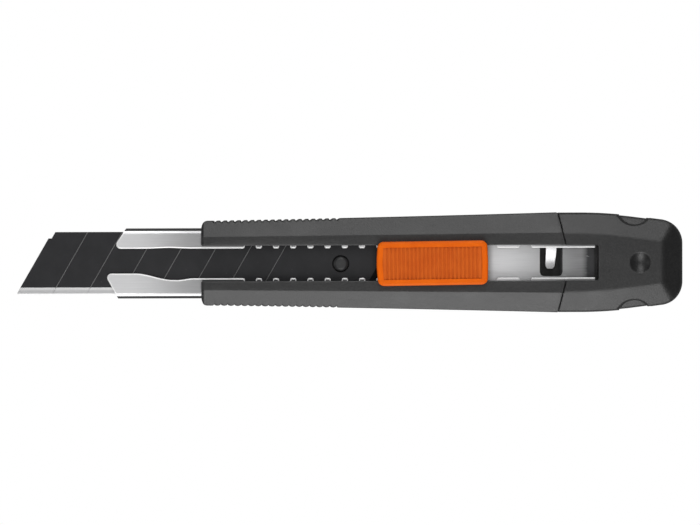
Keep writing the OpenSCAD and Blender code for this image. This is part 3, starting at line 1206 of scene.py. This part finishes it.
    def recess(self, side: int) -> bpy.types.Object:
        """Return the cutter of a finger recess on one side, as an object."""
        grip, over, deep = self.grip, 2.0, 3.0
        tilt = math.radians(grip.chamfer)
        edge = self.half_width(self.recess_at)
        centre = edge - self.recess_reach + self.recess_radius * math.cos(tilt)
        height = grip.thick - (centre - self.flat(self.recess_at)) * grip.slope
        cutter = to_object("recess", self.recess_side(side, edge, centre, tilt))
        outward = Matrix.Rotation(-side * tilt, 4, "X") @ Matrix.Translation((0, 0, (over - deep) / 2))
        place = Matrix.Translation((self.recess_at, side * centre, height)) @ outward
        for up in (1, -1):
            cone = bmesh.new()
            bmesh.ops.create_cone(cone, cap_ends=True, segments=96, depth=over + deep, matrix=place,
                                  radius1=self.recess_radius - deep * self.recess_draft,
                                  radius2=self.recess_radius + over * self.recess_draft)
            if up < 0:
                turn = Matrix.Rotation(math.pi, 3, "X")
                middle = Vector((0, side * centre, grip.thick / 2))
                bmesh.ops.rotate(cone, cent=middle, matrix=turn, verts=cone.verts)
                half_turn = Matrix.Rotation(math.pi, 3, "Z")
                bmesh.ops.rotate(cone, cent=middle, matrix=half_turn, verts=cone.verts)
                bmesh.ops.translate(cone, vec=(2 * self.recess_at, 0, 0), verts=cone.verts)
            weld(cutter, cone)
        cut(cutter, self.shell(self.recess_depth))
        return cutter

    def recess_side(self, side: int, edge: float, centre: float, tilt: float) -> bmesh.types.BMesh:
        """Return the part of a finger recess that runs down the side wall.

        Args:
            side: 1 or -1.
            edge: Half the width of the cap there.
            centre: Distance of the recess's centre from the middle.
            tilt: Slope of the chamfer, in radians.

        Returns:
            A new bmesh.
        """
        grip = self.grip
        half = math.sqrt(self.recess_radius ** 2 - ((centre - edge) / math.cos(tilt)) ** 2) - 0.3
        top = grip.thick - (edge - self.flat(self.recess_at)) * grip.slope - 0.5
        low, high = sorted((side * (edge - 0.9), side * (edge + 3.0)))
        return block((self.recess_at - half, low, grip.thick - top), (self.recess_at + half, high, top))

    def build(self, finishes: Finishes) -> None:
        """Build the cap and dress it."""
        grip = self.grip
        cap = to_object("cap_shell", self.shell())
        cut(cap, self.joint())
        tip = grip.nose + grip.gap
        round_edges(cap, grip.joint_edge, lambda edge: grip.on_joint(edge, tip, MM), 2)
        for side in (-self.arm_side, self.arm_side):
            weld(cap, block((14, side - self.arm_half, 2.7), (40, side + self.arm_half, 6.3)))
        channel_room = block((20, -grip.cavity_half, grip.cavity_floor),
                             (self.slot_end, grip.cavity_half, grip.cavity_top))
        slot_ring = outline([Corner(20, -grip.slot_half), Corner(self.slot_end, -grip.slot_half, 0.6, 4),
                             Corner(self.slot_end, grip.slot_half, 0.6, 4), Corner(20, grip.slot_half)])
        slot = prism(slot_ring, grip.cavity_top - 1, 20)
        cut(cap, channel_room, slot, block(*self.hollow), self.dimple())
        combine(cap, [self.recess(side) for side in (-1, 1)], "DIFFERENCE")
        smooth(cap)
        fit(cap, Body.CAP, "end_cap", Slot.CAP, finishes.cap)


@dataclass
class Channel:
    """The bent steel channel that guides the blade.

    Attributes:
        sheet: Thickness of the steel.
        bend: Outer radius of its bends.
        inner_bend: Inner radius of its bends.
        lip: Distance of the lips' inner edges from the middle.
        slit_half: Half the gap between the lips before the notches are cut.
        nose_lip: Distance of the lower lip's edge from the middle at its front end.
        swell_lip: Distance of that edge from the middle where it swings out most.
        opening: Places between which it swings out.
        closing: Places between which it swings back.
        wave_at: Place of the upper lip's wave.
        wave_half: Half the length of that wave.
        wave_depth: Depth of that wave.
        wave_run: Whole places, one apart, between which the lips' edges are not straight.
        notch_first: Place of the first notch.
        notch_pitch: Distance from notch to notch.
        notch_width: Width of a notch.
        notch_depth: Depth of a notch.
        notch_radius: Rounding of its corners.
        notch_numbers: The notches that exist.
        tab_at: Place of the holding tab's root.
        tab_half: Half its width there.
        tab_root: Place across of its root.
        tab_length: Its length.
        tab_drop: How far it is bent down.
        hole: Corners in plan of the hole that the tab leaves in the floor.
        hole_corner: Rounding of its two far corners.
        sharp_from: Place behind which the notches keep the sharp edges that the slot hides.
        rim: Rounding of the lips' edges.
        visible: Distance from the middle up to which the lips' edges are rounded.
    """

    sheet: float = 0.8
    bend: float = 1.7
    inner_bend: float = 0.35
    lip: float = 4.3
    slit_half: float = 2.0
    nose_lip: float = 2.88
    swell_lip: float = 4.8
    opening: tuple[float, float] = (-89.2, -78.2)
    closing: tuple[float, float] = (-77.0, -72.4)
    wave_at: float = -79.5
    wave_half: float = 4.0
    wave_depth: float = 0.22
    wave_run: tuple[int, int] = (-100, -65)
    notch_first: float = -55.8
    notch_pitch: float = 5.0
    notch_width: float = 3.2
    notch_depth: float = 1.8
    notch_radius: float = 0.5
    notch_numbers: tuple[int, ...] = (*range(15), 16)
    tab_at: float = 31.85
    tab_half: float = 1.65
    tab_root: float = 7.2
    tab_length: float = 9.05
    tab_drop: float = 1.05
    hole: Plan = ((28.5, -4.05), (35.15, 7.2))
    hole_corner: float = 1.3
    sharp_from: float = -58.0
    rim: float = 0.38
    visible: float = 5.5

    def __post_init__(self) -> None:
        """Read the places from the frame."""
        low, high = node_box("blade_channel")
        self.front, self.rear = low.x, high.x
        self.half = high.y
        self.floor, self.top = low.z, high.z

    def section(self) -> Ring:
        """Return the C-shaped section, with lips longer than needed."""
        inside = self.half - self.sheet
        half = [
            Corner(self.half, self.floor, self.bend, 8),
            Corner(self.half, self.top, self.bend, 8),
            Corner(self.slit_half, self.top),
            Corner(self.slit_half, self.top - self.sheet),
            Corner(inside, self.top - self.sheet, self.inner_bend, 4),
            Corner(inside, self.floor + self.sheet, self.inner_bend, 4),
        ]
        return outline(mirrored(half))

    def lower_lip(self, x: float) -> float:
        """Return the place across of the lower lip's edge, with its curved front."""
        out = (self.swell_lip - self.nose_lip) * ease(*self.opening, x)
        return (self.swell_lip - self.lip) * ease(*self.closing, x) - self.nose_lip - out

    def upper_lip(self, x: float) -> float:
        """Return the place across of the upper lip's edge, with its slight wave."""
        return self.lip + self.wave_depth * math.exp(-(((x - self.wave_at) / self.wave_half) ** 2))

    def notch(self, number: int, side: int) -> list[Corner]:
        """Return the corners of one notch, in the direction of travel of its side."""
        middle = self.notch_first + number * self.notch_pitch
        half = self.notch_width / 2
        edge, deep = side * self.lip, side * (self.lip + self.notch_depth)
        plan = ((middle - half, edge), (middle - half, deep), (middle + half, deep), (middle + half, edge))
        corners = [Corner(x, y, self.notch_radius, 4) for x, y in plan]
        return corners if side < 0 else corners[::-1]

    def gap_cutter(self) -> bmesh.types.BMesh:
        """Return the prism that leaves the lips with their wave and notches."""
        wave = [float(x) for x in range(*self.wave_run)]
        lower = [Corner(x, self.lower_lip(x)) for x in wave]
        upper = [Corner(x, self.upper_lip(x)) for x in reversed(wave)]
        for number in self.notch_numbers:
            lower += self.notch(number, -1)
        back = [Corner(self.rear + 5, -self.lip), Corner(self.rear + 5, self.lip)]
        teeth: list[Corner] = []
        for number in reversed(self.notch_numbers):
            teeth += self.notch(number, 1)
        return prism(outline([*lower, *back, *teeth, *upper]), self.top - self.sheet - 0.4, self.top + 2)

    def nose_cutter(self) -> bmesh.types.BMesh:
        """Return the prism that shapes both lips' front ends."""
        front = self.front
        corners = [
            Corner(front - 10, -14), Corner(front + 5.27, -14),
            Corner(front - 0.88, -self.nose_lip, 1.2, 8), Corner(front + 3.6, -self.nose_lip),
            Corner(front + 6.6, self.lip), Corner(front + 1.5, self.lip, 1.28, 8),
            Corner(front + 8.1, 14), Corner(front - 10, 14),
        ]
        return prism(outline(corners), self.floor - 1, self.top + 1)

    def tab(self) -> bmesh.types.BMesh:
        """Return the holding tab, bent down from the floor."""
        rings = []
        steps = 14
        for k in range(steps + 1):
            y = self.tab_root - self.tab_length * k / steps
            high = self.floor + self.sheet - self.tab_drop * ease(6.0, -1.2, y)
            narrow = self.tab_half - 0.15 * ease(4, -1.5, y) - 0.6 * ease(-1.0, -1.9, y)
            middle = self.tab_at - 0.35 * ease(4, -1.9, y)
            ring = outline([
                Corner(middle + narrow, high - self.sheet, 0.12, 2), Corner(middle + narrow, high, 0.2, 3),
                Corner(middle - narrow, high, 0.2, 3), Corner(middle - narrow, high - self.sheet, 0.12, 2),
            ])
            rings.append([Vector((p.x, y, p.y)) for p in ring])
        return skin(rings)

    def build(self, finishes: Finishes) -> None:
        """Build the channel and dress it."""
        section = self.section()
        mesh = skin([[Vector((x, p.x, p.y)) for p in section] for x in (self.front - 2, self.rear)])
        channel = to_object("channel_sheet", mesh)
        (front, low), (back, high) = self.hole
        corner = self.hole_corner
        hole = outline([Corner(front, high), Corner(front, low, corner, 5),
                        Corner(back, low, corner, 5), Corner(back, high)])
        cut(channel, self.gap_cutter(), self.nose_cutter(),
            prism(hole, self.floor - 1, self.floor + self.sheet + 0.6))
        lip_height = self.top * MM

        def on_lip_edge(edge: Any) -> bool:
            """Return whether an edge runs round the top of a lip."""
            if any(abs(vert.co.z - lip_height) > 1e-6 for vert in edge.verts) or len(edge.link_faces) != 2:
                return False
            widest = max(abs(vert.co.y) for vert in edge.verts)
            if self.sharp_from * MM < edge.verts[0].co.x and widest > self.visible * MM:
                return False
            return edge.calc_face_angle(0.0) > math.radians(60)

        # The rounded lip edges take the second material, a painted highlight.
        round_edges(channel, self.rim, on_lip_edge, 4, finish=1)
        mesh = bmesh.new()
        mesh.from_mesh(channel.data)
        bmesh.ops.scale(mesh, vec=(1 / MM,) * 3, verts=mesh.verts)
        add_mesh(mesh, self.tab())
        bpy.data.objects.remove(channel)
        channel = to_object("channel_steel_sheet", mesh)
        smooth(channel)
        fit(channel, Body.HANDLE, "blade_channel", Slot.CHANNEL, finishes.channel, finishes.rim)


@dataclass
class Blade:
    """The snap-off blade: seven segments and the tang.

    Attributes:
        segments: Number of segments in front of the tang.
        segment: Length of a segment along the edge.
        tip_segment: Length of the segment at the tip.
        tang: Length of the tang along the edge.
        lean: Slant of the score lines, sideways per millimetre of width.
        edge_height: Height of the ground edge.
        strip: Height of the bottom of the ground edge up to its second grinding.
        knee: Half the thickness where the two grindings meet, as a share of half the blade's.
        step_height: Height of the small step at the back of the tip.
        step_run: Its length.
        score_depth: Depth of the score lines.
        score_half: Half their width.
        hole_radius: Radius of the hole in the tang.
    """

    segments: int = 7
    segment: float = 10.0
    tip_segment: float = 10.4
    tang: float = 30.0
    lean: float = math.tan(math.radians(30))
    edge_height: float = 1.85
    strip: float = 1.3
    knee: float = 0.62
    step_height: float = 1.85
    step_run: float = 0.95
    score_depth: float = 0.12
    score_half: float = 0.14
    hole_radius: float = 2.5

    def __post_init__(self) -> None:
        """Read the places from the frame."""
        low, high = node_box("blade_segment_1")
        self.tip = low.x
        self.edge, self.back = low.y, high.y
        self.under, self.top = low.z, high.z
        stud_low, stud_high = node_box("blade_stud")
        self.stud = (stud_low + stud_high) / 2

    def section(self, start: float, along: float, scored: bool, back: float) -> Ring:
        """Return a slanted section of the blade.

        Args:
            start: Place of the piece's front corner at the edge.
            along: Distance from it.
            scored: Whether the section lies at the bottom of a score line.
            back: Place across of the blunt back.

        Returns:
            Points in space.
        """
        top = self.top - (self.score_depth if scored else 0.0)
        middle = (self.top + self.under) / 2
        grind = self.edge + self.edge_height
        strip = self.edge + self.strip
        half = (self.top - self.under) / 2
        knee = half * self.knee
        corners = [
            Corner(self.edge, middle - 0.01), Corner(strip, middle - knee), Corner(grind, self.under),
            Corner(back, self.under, 0.05, 1), Corner(back, top, 0.05, 1), Corner(grind, top),
            Corner(strip, middle + knee - (self.top - top)), Corner(self.edge, middle + 0.01),
        ]
        return [Vector((start + along + self.lean * (p.x - self.edge), p.x, p.y)) for p in outline(corners)]

    def piece(self, start: float, length: float, front: bool, rear: bool,
              notched: bool) -> bmesh.types.BMesh:
        """Return one slanted length of blade.

        Args:
            start: Place of its front corner at the edge.
            length: Its length along the edge.
            front: Whether its front end is scored.
            rear: Whether its rear end is scored.
            notched: Whether its front end has the small step at the back.

        Returns:
            A new bmesh, with its faces' material numbers set.
        """
        step, run = self.back - self.step_height, self.step_run
        stations: list[tuple[float, bool, float]] = []
        if notched:
            stations += [(0.0, False, step), (run - 0.04, False, step), (run, False, self.back)]
        elif front:
            stations += [(0.0, True, self.back), (self.score_half, False, self.back)]
        else:
            stations += [(0.0, False, self.back)]
        if rear:
            stations += [(length - self.score_half, False, self.back), (length, True, self.back)]
        else:
            stations += [(length, False, self.back)]
        mesh = skin([self.section(start, *station) for station in stations])
        bmesh.ops.recalc_face_normals(mesh, faces=mesh.faces)
        grind = self.edge + self.edge_height
        for face in mesh.faces:
            middle = face.calc_center_median()
            along = middle.x - start - self.lean * (middle.y - self.edge)
            near_score = (front and along < self.score_half) or (rear and along > length - self.score_half)
            if middle.y < grind - 0.01:
                face.material_index = 1
            elif near_score and face.normal.z > 0.5:
                face.material_index = 2
        return mesh

    def build(self, finishes: Finishes) -> None:
        """Build all lengths of the blade and dress them."""
        dress = (finishes.coating, finishes.edge, finishes.score)
        first_score = self.tip + self.tip_segment
        for number in range(1, self.segments + 1):
            end = first_score + (number - 1) * self.segment
            start = self.tip if number == 1 else end - self.segment
            mesh = self.piece(start, end - start, number > 1, True, number == 1)
            length = to_object(f"blade_length_{number}", mesh)
            smooth(length, 3.0)
            fit(length, Body.CARRIAGE, f"blade_segment_{number}", Slot.BLADE, *dress)
        start = first_score + (self.segments - 1) * self.segment
        tang = to_object("blade_tang_length", self.piece(start, self.tang, True, False, False))
        hole = self.hole_radius
        cut(tang, turned([(0, -9), (hole, -9), (hole, 9), (0, 9)], self.stud))
        smooth(tang, 3.0)
        fit(tang, Body.CARRIAGE, "blade_tang", Slot.BLADE, *dress)

    def build_stud(self, finishes: Finishes) -> None:
        """Build the stud in the blade's hole and dress it."""
        low, high = node_box("blade_stud")
        radius = (high.x - low.x) / 2
        shoulder = self.under - 0.15
        shank = [(0.0, low.z), (1.4, low.z), (1.4, shoulder), (radius, shoulder)]
        head = [(radius, 0.32), (radius - 0.05, 0.24), (1.5, 0.03), (1.42, 0.005), (1.34, 0.0), (0.0, 0.0)]
        profile = shank + [(out, high.z - down) for out, down in head]
        stud = to_object("stud_rivet", turned(profile, Vector((self.stud.x, self.stud.y, 0))))
        smooth(stud, 50.0)
        fit(stud, Body.CARRIAGE, "blade_stud", Slot.STUD, finishes.stud)


@dataclass
class Slider:
    """The orange slider with its grooved thumb pad.

    Attributes:
        rim: Width of the smooth rim.
        corner: Corner radius in plan.
        edge: Rounding of the rim's outer edge.
        bed: Depth of the bed under the pad.
        bed_edge: Rounding of the rim's inner edge.
        bow: How far the front end bulges.
        groove_pitch: Distance from groove to groove.
        groove_depth: Depth of a groove.
        groove_half: Half its width, as a share of the pitch.
        groove_curve: Exponent of its hollow sides; 1 would make them straight.
        pad_margin: Length of the pad, at both ends together, that stays free of grooves.
        pad_drop: How far the pad lies under the rim.
        stem: Corners in plan of the stem that runs in the slot.
        foot: Corners in plan of the foot between the lips.
        post_room: Corners in plan of the room for the carrier's post.
        skew: How askew the slider sits in its play, in degrees.
    """

    rim: float = 1.75
    corner: float = 1.9
    edge: float = 0.75
    bed: float = 1.0
    bed_edge: float = 0.3
    bow: float = 0.5
    groove_pitch: float = 1.185
    groove_depth: float = 0.3
    groove_half: float = 0.3
    groove_curve: float = 0.7
    pad_margin: float = 1.4
    pad_drop: float = 0.22
    stem: Plan = ((-15.0, -4.8), (10.0, 4.8))
    foot: Plan = ((-12.0, -3.6), (-4.0, 3.6))
    post_room: Plan = ((-2.6, -3.7), (8.6, 3.7))
    skew: float = 0.75

    def __post_init__(self) -> None:
        """Read the places from the frame."""
        low, high = node_box("slide_button")
        self.front, self.back = low.x, high.x
        self.half = high.y - 0.2
        self.top = high.z
        self.low = low.z
        self.under = node_box("handle_body")[1].z + 0.3

    def plan(self, inset: float, height: float) -> Ring:
        """Return the slider's outline at a height, moved in by an inset."""
        bow, corner = self.bow, self.corner
        corners = [
            Corner(self.front + bow, -self.half, corner, 8), Corner(self.back - 0.2, -self.half, corner, 8),
            Corner(self.back, 0, 30, 6), Corner(self.back - 0.2, self.half, corner, 8),
            Corner(self.front + bow, self.half, corner, 8), Corner(self.front, 0, 30, 6),
        ]
        return [Vector((p.x, p.y, height)) for p in shrink(outline(corners), inset)]

    def settle(self, mesh: bmesh.types.BMesh) -> bmesh.types.BMesh:
        """Turn a mesh askew about the middle of the slider, and return it."""
        middle = Vector(((self.front + self.back) / 2, 0, 0))
        bmesh.ops.rotate(mesh, cent=middle, matrix=Matrix.Rotation(math.radians(self.skew), 3, "Z"),
                         verts=mesh.verts)
        return mesh

    def build_button(self, finishes: Finishes) -> None:
        """Build the slider's frame with its stem and dress it."""
        quarter = [math.radians(90 * k / 6) for k in range(7)]
        outer, inner = self.edge, self.bed_edge
        chamfer = ((0.25, 0.0), (0.06, 0.06), (0.0, 0.25))
        rings = [self.plan(inset, self.under + up) for inset, up in chamfer]
        rings += [self.plan(outer * (1 - math.cos(t)), self.top - outer * (1 - math.sin(t)))
                  for t in quarter]
        rings += [self.plan(self.rim - inner * math.cos(t), self.top - inner * (1 - math.sin(t)))
                  for t in reversed(quarter)]
        rings += [self.plan(self.rim, self.top - self.bed)]
        button = to_object("slider_frame", self.settle(skin(rings)))
        stem_low = node_box("blade_channel")[1].z + 0.15
        weld(button, block((*self.stem[0], stem_low), (*self.stem[1], self.under + 0.2), 0.3),
             block((*self.foot[0], self.low), (*self.foot[1], stem_low + 1), 0.2))
        post_top = node_box("blade_carrier")[1].z
        cut(button, block((*self.post_room[0], 5), (*self.post_room[1], post_top + 0.3)))
        smooth(button, 40.0)
        fit(button, Body.SLIDER, "slide_button", Slot.SLIDER, finishes.slider)

    def build_pad(self, finishes: Finishes) -> None:
        """Build the grooved pad and dress it."""
        low, high = node_box("thumb_pad")
        top = self.top - self.pad_drop
        length = high.x - low.x
        count = math.floor((length - self.pad_margin) / self.groove_pitch)
        first = low.x + (length - (count - 1) * self.groove_pitch) / 2
        fine = self.groove_pitch / 10
        steps = round(length / fine)
        rings = []
        for k in range(steps + 1):
            x = low.x + length * k / steps
            number = (x - first) / self.groove_pitch
            groove = 0.0
            if -0.5 < number < count - 0.5:
                inside = max(1.0 - abs(number - round(number)) / self.groove_half, 0.0)
                groove = self.groove_depth * inside ** self.groove_curve
            end = min(x - low.x, high.x - x)
            level = top - groove - 0.25 * (1 - min(end / 0.3, 1.0)) ** 2
            edge_soft = [Corner(low.y, low.z), Corner(high.y, low.z), Corner(high.y, level, 0.25, 3),
                         Corner(low.y, level, 0.25, 3)]
            rings.append([Vector((x, p.x, p.y)) for p in outline(edge_soft)])
        pad = to_object("thumb_pad_ribs", self.settle(skin(rings)))
        smooth(pad, 60.0)
        fit(pad, Body.SLIDER, "thumb_pad", Slot.PAD, finishes.pad)


# ---------------------------------------------------------------------------------------------------
# Studio
# ---------------------------------------------------------------------------------------------------


@dataclass
class Studio:
    """Pale floor, soft boxes and the camera above the knife.

    Attributes:
        view_width: Width of the view at the knife, in millimetres.
        view_x: Place of the view's centre along the knife.
        view_y: Place of the view's centre across the knife.
        lens: Focal length, in millimetres, on a 36 mm sensor.
        tilt: How far the camera leans to the blade's blunt back, in degrees.
        roll: Turn of the camera about its own axis, in degrees.
        height: Height of the plane that the view is framed at.
    """

    view_width: float = 203.7
    view_x: float = -26.8
    view_y: float = 0.13
    lens: float = 300.0
    tilt: float = 1.3
    roll: float = -0.14
    height: float = 10.0

    def camera(self) -> None:
        """Place the camera."""
        data = bpy.data.cameras.new("camera")
        data.lens = self.lens
        data.sensor_width = 36.0
        data.clip_start = 0.05
        data.clip_end = 20.0
        camera = bpy.data.objects.new("camera", data)
        distance = self.view_width * self.lens / 36.0
        tilt = math.radians(self.tilt)
        target = Vector((self.view_x, self.view_y, self.height))
        place = target + Vector((0.0, math.sin(tilt), math.cos(tilt))) * distance
        turn = Matrix.Rotation(-tilt, 4, "X") @ Matrix.Rotation(math.radians(self.roll), 4, "Z")
        camera.matrix_world = Matrix.Translation(place * MM) @ turn
        bpy.context.scene.collection.objects.link(camera)
        bpy.context.scene.camera = camera

    def lamp(self, name: str, place: Sequence[float], size: Sequence[float], power: float) -> None:
        """Hang a soft box that points at the knife.

        Args:
            name: Its name.
            place: Its place, in metres.
            size: Its width and height, in metres.
            power: Its power, in watts.
        """
        data = bpy.data.lights.new(name, "AREA")
        data.shape = "RECTANGLE"
        data.size, data.size_y = size
        data.energy = power
        lamp = bpy.data.objects.new(name, data)
        aim = Vector((-0.02, 0.0, 0.01)) - Vector(place)
        lamp.rotation_euler = aim.to_track_quat("-Z", "X").to_euler()
        lamp.location = place
        bpy.context.scene.collection.objects.link(lamp)

    def floor(self) -> None:
        """Lay the pale floor."""
        mesh = bmesh.new()
        bmesh.ops.create_grid(mesh, x_segments=8, y_segments=8, size=600.0)
        bmesh.ops.translate(mesh, vec=(0.0, 0.0, -0.1), verts=mesh.verts)
        floor = to_object("floor", mesh)
        sheet = Sheet("pale_floor")
        cloud = sheet.noise(8.0, detail=2.0)
        colour = sheet.mix(cloud, tint(0.3, 0.3, 0.3), tint(0.33, 0.33, 0.33))
        sheet.set(base_color=colour, roughness=0.9)
        glow = sheet.node("ShaderNodeEmission", {}, {"Color": tint(1, 1, 1), "Strength": 1.0})
        seen = sheet.node("ShaderNodeLightPath", {}, {})
        mix = sheet.node("ShaderNodeMixShader", {}, {
            0: seen.outputs["Is Camera Ray"], 1: sheet.shader.outputs[0], 2: glow.outputs[0]})
        sheet.tree.links.new(mix.outputs[0], sheet.output.inputs["Surface"])
        floor.data.materials.append(sheet.material)

    def sky(self) -> None:
        """Set a dim surrounding that looks white behind the floor."""
        world = bpy.data.worlds.new("world")
        world.use_nodes = True
        tree = world.node_tree
        tree.nodes.clear()
        output = tree.nodes.new("ShaderNodeOutputWorld")
        dim, white = (tree.nodes.new("ShaderNodeBackground") for _ in range(2))
        dim.inputs["Strength"].default_value = 0.1
        white.inputs["Strength"].default_value = 1.0
        for shader in (dim, white):
            shader.inputs["Color"].default_value = (1, 1, 1, 1)
        seen = tree.nodes.new("ShaderNodeLightPath")
        mix = tree.nodes.new("ShaderNodeMixShader")
        tree.links.new(seen.outputs["Is Camera Ray"], mix.inputs[0])
        tree.links.new(dim.outputs[0], mix.inputs[1])
        tree.links.new(white.outputs[0], mix.inputs[2])
        tree.links.new(mix.outputs[0], output.inputs["Surface"])
        bpy.context.scene.world = world

    def build(self) -> None:
        """Set up the view, the lights and the floor."""
        self.camera()
        self.floor()
        self.lamp("over_box", (-0.05, 0.0, 1.4), (1.0, 0.9), 1.45)
        self.lamp("near_box", (0.02, -0.75, 0.55), (1.3, 0.5), 9.0)
        self.lamp("far_box", (0.04, 0.75, 0.55), (1.3, 0.5), 6.4)
        self.lamp("front_box", (-0.95, 0.0, 0.45), (0.5, 0.5), 0.8)
        self.sky()
        bpy.context.scene.view_settings.view_transform = "Standard"


def dress_hidden(finishes: Finishes) -> None:
    """Give the carrier and the lock spring, which keep their own shape, their finishes."""
    for node, material in (("blade_carrier", finishes.carrier), ("lock_spring", finishes.spring)):
        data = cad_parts[node].data
        data.materials.clear()
        data.materials.append(material)


def main() -> None:
    """Build the knife and its studio."""
    logging.basicConfig(level=logging.INFO, format="%(name)s: %(message)s")
    finishes = Finishes()
    grip = Grip()
    Studio().build()
    Handle(grip).build(finishes)
    EndCap(grip).build(finishes)
    Channel().build(finishes)
    blade = Blade()
    blade.build(finishes)
    blade.build_stud(finishes)
    slider = Slider()
    slider.build_button(finishes)
    slider.build_pad(finishes)
    dress_hidden(finishes)


if __name__ == "__main__":
    main()
